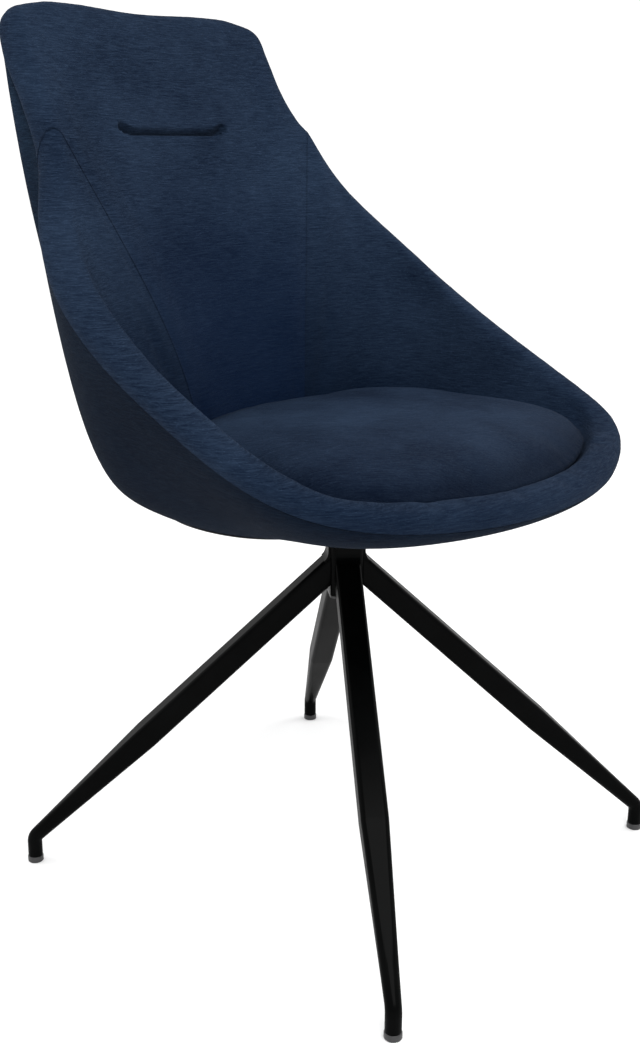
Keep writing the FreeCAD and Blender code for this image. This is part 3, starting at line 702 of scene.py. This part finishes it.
class Bench:
    """Steps that are used on several pieces."""

    @staticmethod
    def take(piece: bpy.types.Object) -> None:
        """Selects one object alone and makes it active.

        Args:
            piece: the object.
        """
        bpy.ops.object.select_all(action="DESELECT")
        piece.select_set(True)
        bpy.context.view_layer.objects.active = piece

    @staticmethod
    def blank(frame: dict, name: str, *nodes: str) -> bpy.types.Object:
        """Merged copy of one or more solids of the model.

        Args:
            name: name of the new piece.
            nodes: the solids that are copied.

        Returns:
            The new object, at the origin.
        """
        copies = []
        for node in nodes:
            copy = bpy.data.objects.new(name, frame["nodes"][node].data.copy())
            bpy.context.scene.collection.objects.link(copy)
            copy.data.materials.clear()
            copies.append(copy)
        Bench.take(copies[0])
        for copy in copies[1:]:
            copy.select_set(True)
        if len(copies) > 1:
            bpy.ops.object.join()
        piece = bpy.context.view_layer.objects.active
        bpy.ops.object.mode_set(mode="EDIT")
        bpy.ops.mesh.select_all(action="SELECT")
        bpy.ops.mesh.remove_doubles(threshold=0.00002)
        bpy.ops.mesh.normals_make_consistent(inside=False)
        bpy.ops.object.mode_set(mode="OBJECT")
        if piece.data.has_custom_normals:
            bpy.ops.mesh.customdata_custom_splitnormals_clear()
        return piece

    @staticmethod
    def modifier(piece: bpy.types.Object, kind: str, **settings: object) -> None:
        """Adds a modifier, sets it and applies it.

        Args:
            piece: the object.
            kind: Blender's name of the modifier type.
            settings: properties of the modifier.
        """
        Bench.take(piece)
        added = piece.modifiers.new(kind.lower(), kind)
        for name, value in settings.items():
            setattr(added, name, value)
        bpy.ops.object.modifier_apply(modifier=added.name)

    @staticmethod
    def places(piece: bpy.types.Object) -> np.ndarray:
        """Coordinates of all the vertices.

        Args:
            piece: the object.

        Returns:
            One row for each vertex.
        """
        flat = np.empty(len(piece.data.vertices) * 3, dtype=np.float32)
        piece.data.vertices.foreach_get("co", flat)
        return flat.reshape(-1, 3).astype(np.float64)

    @staticmethod
    def put(piece: bpy.types.Object, places: np.ndarray) -> None:
        """Moves all the vertices.

        Args:
            piece: the object.
            places: the new coordinates, one row each.
        """
        piece.data.vertices.foreach_set("co", places.astype(np.float32).ravel())
        piece.data.update()

    @staticmethod
    def normals(piece: bpy.types.Object) -> np.ndarray:
        """Normals of all the vertices.

        Args:
            piece: the object.

        Returns:
            One row for each vertex.
        """
        flat = np.empty(len(piece.data.vertices) * 3, dtype=np.float32)
        piece.data.vertex_normals.foreach_get("vector", flat)
        return flat.reshape(-1, 3).astype(np.float64)

    @staticmethod
    def nearness(frame: dict, nodes: Iterable, places: np.ndarray, reach: float) -> np.ndarray:
        """Distance from each place to the nearest of some solids.

        Args:
            nodes: names of the solids.
            places: the places, one row each.
            reach: distance past which the search stops.

        Returns:
            One distance for each place, at most the reach.
        """
        found = np.full(len(places), reach)
        for node in nodes:
            mesh = frame["nodes"][node].data
            tree = BVHTree.FromPolygons([v.co for v in mesh.vertices], [p.vertices[:] for p in mesh.polygons])
            for row, place in enumerate(places):
                hit = tree.find_nearest(Vector(place), found[row])
                if hit[0] is not None:
                    found[row] = min(found[row], hit[3])
        return found

    @staticmethod
    def mark_seam_shade(frame: dict, piece: bpy.types.Object, nodes: Iterable, reach: float = 0.008) -> None:
        """Stores how near each vertex is to its sewn neighbours, from 0 to 1, as a mask for painted shade along
        the seams.

        Args:
            piece: the piece.
            nodes: the solids that it is sewn to.
            reach: distance at which the mark ends.
        """
        near = Bench.nearness(frame, nodes, Bench.places(piece), reach)
        level = np.clip(1.0 - near / reach, 0.0, 1.0).astype(np.float32)
        mark = piece.data.attributes.new("seam", "FLOAT", "POINT")
        mark.data.foreach_set("value", level)

    @staticmethod
    def split_long(piece: bpy.types.Object, longest: float, rounds: int = 3) -> None:
        """Splits edges until few are longer than a length.

        Args:
            piece: the object.
            longest: the length, in metres.
            rounds: how often the edges are gone through.
        """
        Bench.take(piece)
        for _ in range(rounds):
            bpy.ops.object.mode_set(mode="EDIT")
            bpy.ops.mesh.select_mode(type="EDGE")
            mesh = bmesh.from_edit_mesh(piece.data)
            for edge in mesh.edges:
                edge.select_set(edge.calc_length() > longest)
            bmesh.update_edit_mesh(piece.data)
            bpy.ops.mesh.subdivide(number_cuts=1)
            bpy.ops.mesh.select_all(action="SELECT")
            bpy.ops.mesh.quads_convert_to_tris(quad_method="SHORTEST_DIAGONAL", ngon_method="BEAUTY")
            bpy.ops.mesh.beautify_fill(angle_limit=math.radians(8.0))
            bpy.ops.object.mode_set(mode="OBJECT")

    @staticmethod
    def shade(piece: bpy.types.Object, degrees: float = 50.0) -> None:
        """Smooths the shading where faces meet at less than an angle.

        Args:
            piece: the object.
            degrees: the angle.
        """
        Bench.take(piece)
        bpy.ops.object.shade_smooth_by_angle(angle=math.radians(degrees))

    @staticmethod
    def dress(piece: bpy.types.Object, material: bpy.types.Material) -> None:
        """Gives a piece one material.

        Args:
            piece: the object.
            material: the material.
        """
        piece.data.materials.clear()
        piece.data.materials.append(material)

    @staticmethod
    def dress_node(frame: dict, node: str, material: bpy.types.Material) -> None:
        """Gives a solid of the model a better material.

        Args:
            node: the solid.
            material: the material.
        """
        slots = frame["nodes"][node].material_slots
        if not slots:
            frame["nodes"][node].data.materials.append(material)
        for held in slots:
            held.material = material


@dataclass
class Stuffing:
    """How a padded piece is filled out from its plain solid."""

    voxel: float = 0.006
    pressure: float = 4.0
    cap: float = 0.004
    frames: int = 20
    hold: float = 0.0018
    ease: float = 0.016
    blend: int = 8
    quality: int = 4
    weight: float = 0.3
    tension: float = 25.0
    compression: float = 15.0
    bending: float = 0.8
    relaxing: int = 8

    def fill(self, frame: dict, piece: bpy.types.Object, node: str, neighbours: Iterable) -> None:
        """Lets a cloth simulation fill out an even form of the solid, and carries its swell to the piece.

        Args:
            piece: merged copy of the solid.
            node: the solid.
            neighbours: solids that hold the cloth where they touch it.
        """
        form = Bench.blank(frame, "even_form", node)
        Bench.modifier(form, "REMESH", mode="VOXEL", voxel_size=self.voxel, adaptivity=0.0)
        Bench.modifier(form, "SMOOTH", factor=0.5, iterations=3)
        start = Bench.places(form)
        near = Bench.nearness(frame, neighbours, start, self.ease)
        held = form.vertex_groups.new(name="held")
        held.add([int(i) for i in np.nonzero(near < self.hold)[0]], 1.0, "REPLACE")
        self._blow(form)
        moved = Bench.places(form) - start
        bpy.data.objects.remove(form)
        length = np.linalg.norm(moved, axis=1, keepdims=True)
        moved *= self.cap * np.tanh(length / self.cap) / np.maximum(length, 1e-9)
        self._carry(frame, piece, start, moved, neighbours)

    def _carry(self, frame: dict, piece: bpy.types.Object, start: np.ndarray, moved: np.ndarray,
               neighbours: Iterable) -> None:
        """Moves the piece as the form under it moved.

        Args:
            piece: the piece.
            start: places of the form's vertices before the simulation.
            moved: how far each of them moved.
            neighbours: solids beside which the piece stays where it is.
        """
        tree = KDTree(len(start))
        for row, place in enumerate(start):
            tree.insert(Vector(place), row)
        tree.balance()
        places = Bench.places(piece)
        near = Bench.nearness(frame, neighbours, places, self.ease)
        start_of_ease = self.hold / 3
        share = np.clip((near - start_of_ease) / (self.ease - start_of_ease), 0.0, 1.0)
        share = (share * (2.0 - share))[:, None]
        rows = np.array([[hit[1] for hit in tree.find_n(Vector(p), self.blend)] for p in places])
        swell = moved[rows].mean(axis=1)
        Bench.put(piece, places + swell * share)
        self._relax(piece, share[:, 0])

    def _relax(self, piece: bpy.types.Object, share: np.ndarray) -> None:
        """Evens out the cloth away from its seams.

        Args:
            piece: the piece.
            share: how free each vertex is, from 0 to 1.
        """
        loose = piece.vertex_groups.new(name="loose")
        for level in np.unique(np.round(share, 1)):
            rows = np.nonzero(np.round(share, 1) == level)[0]
            loose.add([int(i) for i in rows], float(level), "REPLACE")
        Bench.modifier(piece, "SMOOTH", factor=0.5, iterations=self.relaxing, vertex_group="loose")
        piece.vertex_groups.clear()

    def _blow(self, form: bpy.types.Object) -> None:
        """Runs the cloth simulation on a form and applies it.

        Args:
            form: the form, with its held vertices in the group "held".
        """
        Bench.take(form)
        cloth = form.modifiers.new("cloth", "CLOTH")
        settings = cloth.settings
        settings.use_pressure = True
        settings.uniform_pressure_force = self.pressure
        settings.effector_weights.gravity = 0.0
        settings.quality = self.quality
        settings.mass = self.weight
        settings.tension_stiffness = self.tension
        settings.compression_stiffness = self.compression
        settings.bending_stiffness = self.bending
        settings.vertex_group_mass = "held"
        cloth.collision_settings.use_self_collision = False
        cloth.collision_settings.use_collision = False
        scene = bpy.context.scene
        for step in range(1, self.frames + 1):
            scene.frame_set(step)
        bpy.ops.object.modifier_apply(modifier=cloth.name)
        scene.frame_set(1)


@dataclass(frozen=True)
class Dents:
    """Slow undulations of a padded surface."""

    size: float
    height: float
    seed: float

    def press(self, piece: bpy.types.Object) -> None:
        """Moves a piece's surface along its normals.

        Args:
            piece: the piece.
        """
        places, normals = Bench.places(piece), Bench.normals(piece)
        shift = Vector((self.seed, 2.0 * self.seed, -self.seed))
        waves = np.array([noise.noise(Vector(p) / self.size + shift) for p in places])
        Bench.put(piece, places + normals * (self.height * waves)[:, None])


# The chair's sub-assemblies


@dataclass
class Cushion:
    """Loose seat cushion in its own cover."""

    node: str = "seat_cushion"
    voxel: float = 0.004
    reach: float = 0.014
    slack: float = 0.0008
    spread: float = 0.0045
    sag: float = 0.006
    sag_end: float = 0.10
    stuffing: Stuffing = field(default_factory=lambda: Stuffing(cap=0.0045))
    dents: Dents = Dents(0.09, 0.0009, 4.0)
    # Painted light and shade: the cushion gets a brighter light level and painted shade towards its bottom.
    fabric: Chenille = Chenille("navy_chenille_cushion", Weft.ACROSS, -38.0, 1.14, painted_shade_low=0.475, painted_shade_high=0.522,
                                painted_low_shade=0.28, painted_shade_colour=(0.0, 0.0012, 0.0060), patchiness=0.46)

    def build(self, frame: dict) -> list:
        """Builds and dresses the cushion.


        Returns:
            The cushion.
        """
        piece = Bench.blank(frame, "loose_cushion", self.node)
        Bench.modifier(piece, "REMESH", mode="VOXEL", voxel_size=self.voxel, adaptivity=0.0)
        Bench.modifier(piece, "SMOOTH", factor=0.5, iterations=4)
        self.stuffing.fill(frame, piece, self.node, ("seat_base_pad",))
        self._snug(frame, piece)
        self.dents.press(piece)
        Bench.shade(piece)
        Bench.dress(piece, self.fabric.material())
        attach(piece, "seat")
        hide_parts(self.node)
        return [piece]

    def _snug(self, frame: dict, piece: bpy.types.Object) -> None:
        """Spreads the cushion's flanks until they rest against the bucket, and lets its rear sag.

        Args:
            piece: the cushion.
        """
        places, normals = Bench.places(piece), Bench.normals(piece)
        near = Bench.nearness(frame, ("rim_pad", "back_pad"), places, self.reach)
        step = np.clip(near - self.slack, 0.0, self.spread) * (near < self.reach)
        aside = normals * (1.0, 1.0, 0.0)
        sunk = self.sag * np.clip(places[:, 1] / self.sag_end, 0.0, 1.0) * np.clip(normals[:, 2], 0.0, 1.0)
        Bench.put(piece, places + aside * step[:, None] - np.outer(sunk, (0.0, 0.0, 1.0)))
        Bench.modifier(piece, "SMOOTH", factor=0.5, iterations=4)


@dataclass
class Crease:
    """Sewn crease under the head roll: a straight line with turned up ends, with a painted shadow along it."""

    height: float = 0.790
    half: float = 0.078
    end: float = 0.016
    rise: float = 0.006
    fill: float = 0.0030
    fill_width: float = 0.0075
    depth: float = 0.0058
    width_above: float = 0.0050
    width_below: float = 0.0014
    shadow_above: float = 0.045
    shadow_below: float = 0.012
    cuts: tuple = (0.022, 0.010)
    inward: tuple = (0.0, 0.97, -0.24)
    front_limit: float = 0.3

    def sew(self, piece: bpy.types.Object) -> None:
        """Sews the crease into the back and paints its shadow into the mask of painted shade along the seams.

        Args:
            piece: the back, with its seams marked.
        """
        self._cut_fine(piece)
        places = Bench.places(piece)
        front = Bench.normals(piece)[:, 1] < self.front_limit
        away = np.array([self._distance(Vector(p)) for p in places])
        turned_up = np.abs(places[:, 0]) > self.half
        above = places[:, 2] > self.height + self.rise * 0.5 * turned_up
        groove = self.depth * np.exp(-(away / np.where(above, self.width_above, self.width_below)) ** 2)
        filling = self.fill * np.exp(-(away / self.fill_width) ** 2)
        Bench.put(piece, places + np.outer((groove - filling) * front, self.inward))
        # Painted shadow of the crease: a soft band above it and a thin line below it, added to the mask of
        # painted shade along the seams.
        mark = piece.data.attributes["seam"].data
        level = np.empty(len(places), dtype=np.float32)
        mark.foreach_get("value", level)
        shadow = 1.0 - away / np.where(above, self.shadow_above, self.shadow_below)
        mark.foreach_set("value", np.maximum(level, shadow * front).astype(np.float32))

    def _cut_fine(self, piece: bpy.types.Object) -> None:
        """Splits the faces near the crease.

        Args:
            piece: the back.
        """
        Bench.take(piece)
        for reach in self.cuts:
            bpy.ops.object.mode_set(mode="EDIT")
            mesh = bmesh.from_edit_mesh(piece.data)
            for face in mesh.faces:
                middle = face.calc_center_median()
                face.select = face.normal.y < self.front_limit and self._distance(middle) < reach
            mesh.select_flush_mode()
            bmesh.update_edit_mesh(piece.data)
            bpy.ops.mesh.subdivide(number_cuts=1)
            bpy.ops.object.mode_set(mode="OBJECT")

    def _distance(self, place: Vector) -> float:
        """Distance from the crease, seen from the front.

        Args:
            place: a place on the back.

        Returns:
            The distance, in metres.
        """
        along = abs(place.x)
        straight = self.half - self.end
        if along <= straight:
            return abs(place.z - self.height)
        share = min(1.0, (along - straight) / self.end)
        rise = self.rise * share ** 1.5
        return math.hypot(max(0.0, along - self.half), place.z - self.height - rise)


@dataclass
class Bucket:
    """Padded bucket: inside back, wings with the front lip, and the outside cover."""

    edge_length: float = 0.007
    foam_voxel: float = 0.003
    seam_deg: float = 38.0
    seam_tuck: float = 0.0008
    seam_touch: float = 0.0006
    seam_reach: float = 0.01
    crease: Crease = field(default_factory=Crease)
    stuffing: Stuffing = field(default_factory=Stuffing)
    back_dents: Dents = Dents(0.12, 0.0008, 9.0)
    rim_dents: Dents = Dents(0.12, 0.0008, 2.0)
    cover_dents: Dents = Dents(0.15, 0.0004, 5.0)
    # Painted shade: the inside back and the wings are darkened towards the bottom and near the pocket.
    back_fabric: Chenille = Chenille("navy_chenille_back", painted_shade_low=0.44, painted_shade_high=0.56, painted_low_shade=0.55, painted_pocket_shade=0.30)
    rim_fabric: Chenille = Chenille("navy_chenille_rim", painted_shade_low=0.44, painted_shade_high=0.56, painted_low_shade=0.55, painted_pocket_shade=0.30,
                                    painted_shade_colour=(0.0, 0.0035, 0.0130))
    # Painted light and shade: the outside gets a darker light level, a less red light yarn that offsets the grey
    # of its reflections, and painted shade towards the bottom.
    cover_fabric: Chenille = Chenille("navy_chenille_outside", shade=0.80, light=(0.0185, 0.0400, 0.0740),
                                      painted_shade_low=0.52, painted_shade_high=0.85, painted_low_shade=0.32, painted_shade_colour=(0.0, 0.0012, 0.0050),
                                      sheen=0.004)
    shell: Moulded = Moulded("moulded_shell", (0.03, 0.03, 0.032), 0.6)

    def build(self, frame: dict) -> list:
        """Builds and dresses the pieces of the bucket.


        Returns:
            The pieces.
        """
        pieces = [self._back(frame), self._rim(frame), self._cover(frame), self._base_foam(frame)]
        Bench.dress_node(frame, "shell_core", self.shell.material())
        Bench.dress_node(frame, "seat_board", Plywood().material())
        return pieces

    def _back(self, frame: dict) -> bpy.types.Object:
        """Builds the inside back with its head roll and crease.


        Returns:
            The piece.
        """
        piece = Bench.blank(frame, "back_upholstery", "back_pad")
        Bench.split_long(piece, self.edge_length)
        self._tuck_seam(frame, piece)
        self.stuffing.fill(frame, piece, "back_pad", ("shell_core", "outer_cover", "rim_pad", "seat_base_pad"))
        Bench.mark_seam_shade(frame, piece, ("rim_pad", "outer_cover"))
        self.crease.sew(piece)
        self.back_dents.press(piece)
        Bench.shade(piece)
        Bench.dress(piece, self.back_fabric.material())
        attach(piece, "seat")
        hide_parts("back_pad")
        return piece

    def _tuck_seam(self, frame: dict, piece: bpy.types.Object) -> None:
        """Draws the back's sewn edges just under the edges of the wings.

        Args:
            piece: the back.
        """
        places = Bench.places(piece)
        near = Bench.nearness(frame, ("rim_pad",), places, self.seam_reach) < self.seam_touch
        turn = math.radians(self.seam_deg)
        side = np.sign(places[:, 0])
        step = np.stack([side * math.sin(turn), np.full(len(side), -math.cos(turn)), np.zeros(len(side))], axis=1)
        Bench.put(piece, places + step * (self.seam_tuck * near)[:, None])

    def _rim(self, frame: dict) -> bpy.types.Object:
        """Builds the inside of the wings and the front lip.


        Returns:
            The piece.
        """
        piece = Bench.blank(frame, "rim_upholstery", "rim_pad")
        Bench.split_long(piece, self.edge_length)
        self.stuffing.fill(frame, piece, "rim_pad", ("shell_core", "outer_cover", "back_pad", "seat_base_pad"))
        Bench.mark_seam_shade(frame, piece, ("back_pad", "outer_cover"))
        self.rim_dents.press(piece)
        Bench.shade(piece)
        Bench.dress(piece, self.rim_fabric.material())
        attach(piece, "seat")
        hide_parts("rim_pad")
        return piece

    def _cover(self, frame: dict) -> bpy.types.Object:
        """Builds the outside cover, drawn over the shell as one skin.


        Returns:
            The piece.
        """
        piece = Bench.blank(frame, "outer_upholstery", "outer_cover")
        Bench.mark_seam_shade(frame, piece, ("rim_pad", "back_pad"))
        self.cover_dents.press(piece)
        Bench.shade(piece)
        Bench.dress(piece, self.cover_fabric.material())
        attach(piece, "seat")
        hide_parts("outer_cover")
        return piece

    def _base_foam(self, frame: dict) -> bpy.types.Object:
        """Builds the foam layer under the loose cushion.


        Returns:
            The piece.
        """
        piece = Bench.blank(frame, "base_foam", "seat_base_pad")
        Bench.modifier(piece, "REMESH", mode="VOXEL", voxel_size=self.foam_voxel, adaptivity=0.0)
        Bench.modifier(piece, "SMOOTH", factor=0.5, iterations=2)
        Bench.shade(piece)
        Bench.dress(piece, Foam().material())
        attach(piece, "seat")
        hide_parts("seat_base_pad")
        return piece


@dataclass
class Underside:
    """What holds the bucket on its spindle, and the cloth that closes it below."""

    plated: tuple = ("mounting_bolts", "bolt_washers", "tee_nuts", "spindle_washer", "retaining_ring")
    coated: tuple = ("seat_plate", "swivel_spindle")

    def build(self, frame: dict) -> list:
        """Builds and dresses the underside.


        Returns:
            The pieces.
        """
        plating = Plated().material()
        for node in self.plated:
            Bench.dress_node(frame, node, plating)
        coat = PowderCoat("black_plate_coat").material()
        for node in self.coated:
            Bench.dress_node(frame, node, coat)
        piece = Bench.blank(frame, "dust_cloth", "under_cover")
        Bench.shade(piece, 30.0)
        Bench.dress(piece, DustCloth().material())
        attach(piece, "seat")
        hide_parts("under_cover")
        return [piece]


@dataclass
class SteelBase:
    """Four tapered legs welded to the hub, with their glides and bushes."""

    corners: tuple = ("front_left", "front_right", "rear_left", "rear_right")
    bearings: tuple = ("upper_bush", "lower_bush", "thrust_washer")
    glide: Moulded = Moulded("glide_plastic", (0.018, 0.018, 0.019), 0.42)
    nylon: Moulded = Moulded("white_nylon", (0.66, 0.65, 0.60), 0.38)

    def build(self, frame: dict) -> list:
        """Dresses the base.


        Returns:
            No new pieces.
        """
        coat = PowderCoat().material()
        glide = self.glide.material()
        nylon = self.nylon.material()
        for corner in self.corners:
            Bench.dress_node(frame, f"leg_{corner}", coat)
            Bench.dress_node(frame, f"glide_{corner}", glide)
        Bench.dress_node(frame, "hub_tube", coat)
        Bench.dress_node(frame, "hub_end_cap", glide)
        for node in self.bearings:
            Bench.dress_node(frame, node, nylon)
        return []


# The studio


@dataclass
class Studio:
    """Floor, lights and camera."""

    camera_place: tuple = (-1.094845, -0.856703, 0.779543)
    heading_deg: float = -51.65729
    height_deg: float = 15.90216
    roll_deg: float = 0.2660
    lens: float = 45.585
    sensor_width: float = 36.0
    floor_size: float = 60.0
    sky: float = 1.12
    aim: tuple = (0.0, 0.0, 0.5)
    softboxes: tuple = (
        ("key_softbox", (-1.2, -1.9, 2.6), 1.8, 46.0),
        ("side_softbox", (2.2, -1.2, 1.8), 1.6, 22.0),
        ("rear_softbox", (-1.4, 2.4, 2.2), 1.6, 20.0),
    )

    def build(self) -> None:
        """Sets up the studio."""
        bpy.context.scene.view_settings.view_transform = "Standard"
        self._camera()
        self._floor()
        self._sky()
        for name, place, size, watts in self.softboxes:
            self._lamp(name, place, size, watts)

    def _camera(self) -> None:
        """Places the camera where the photograph was taken."""
        lens = bpy.data.cameras.new("photo_camera")
        lens.sensor_width = self.sensor_width
        lens.lens = self.lens
        camera = bpy.data.objects.new("photo_camera", lens)
        bpy.context.scene.collection.objects.link(camera)
        turn, rise = math.radians(self.heading_deg), math.radians(self.height_deg)
        back = Vector((math.sin(turn) * math.cos(rise), -math.cos(turn) * math.cos(rise), math.sin(rise)))
        camera.location = self.camera_place
        camera.rotation_mode = "QUATERNION"
        roll = Quaternion((0.0, 0.0, 1.0), math.radians(self.roll_deg))
        camera.rotation_quaternion = (-back).to_track_quat("-Z", "Y") @ roll
        bpy.context.scene.camera = camera

    def _floor(self) -> None:
        """Lays the pale floor."""
        bpy.ops.object.select_all(action="DESELECT")
        bpy.ops.mesh.primitive_plane_add(size=self.floor_size)
        floor = bpy.context.view_layer.objects.active
        floor.name = "studio_floor"
        Bench.dress(floor, StudioPaint().material())

    def _sky(self) -> None:
        """Fills the room with an even white light."""
        world = bpy.data.worlds.new("white_room")
        world.use_nodes = True
        sheet = world.node_tree.nodes["Background"]
        sheet.inputs["Color"].default_value = colour(1.0, 1.0, 1.0)
        sheet.inputs["Strength"].default_value = self.sky
        bpy.context.scene.world = world

    def _lamp(self, name: str, place: tuple, size: float, watts: float) -> None:
        """Adds a softbox that points at the chair.

        Args:
            name: name of the lamp.
            place: where it stands, in metres.
            size: side of the box, in metres.
            watts: its power.
        """
        light = bpy.data.lights.new(name, "AREA")
        light.shape = "SQUARE"
        light.size = size
        light.energy = watts
        lamp = bpy.data.objects.new(name, light)
        bpy.context.scene.collection.objects.link(lamp)
        lamp.location = place
        lamp.rotation_mode = "QUATERNION"
        lamp.rotation_quaternion = (Vector(self.aim) - Vector(place)).to_track_quat("-Z", "Y")


def main() -> None:
    """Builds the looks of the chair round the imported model."""
    logging.basicConfig(level=logging.INFO)
    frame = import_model()
    Studio().build()
    for part in (SteelBase(), Underside(), Bucket(), Cushion()):
        for piece in part.build(frame):
            LOG.info("%s has %d faces", piece.name, len(piece.data.polygons))


if __name__ == "__main__":
    main()
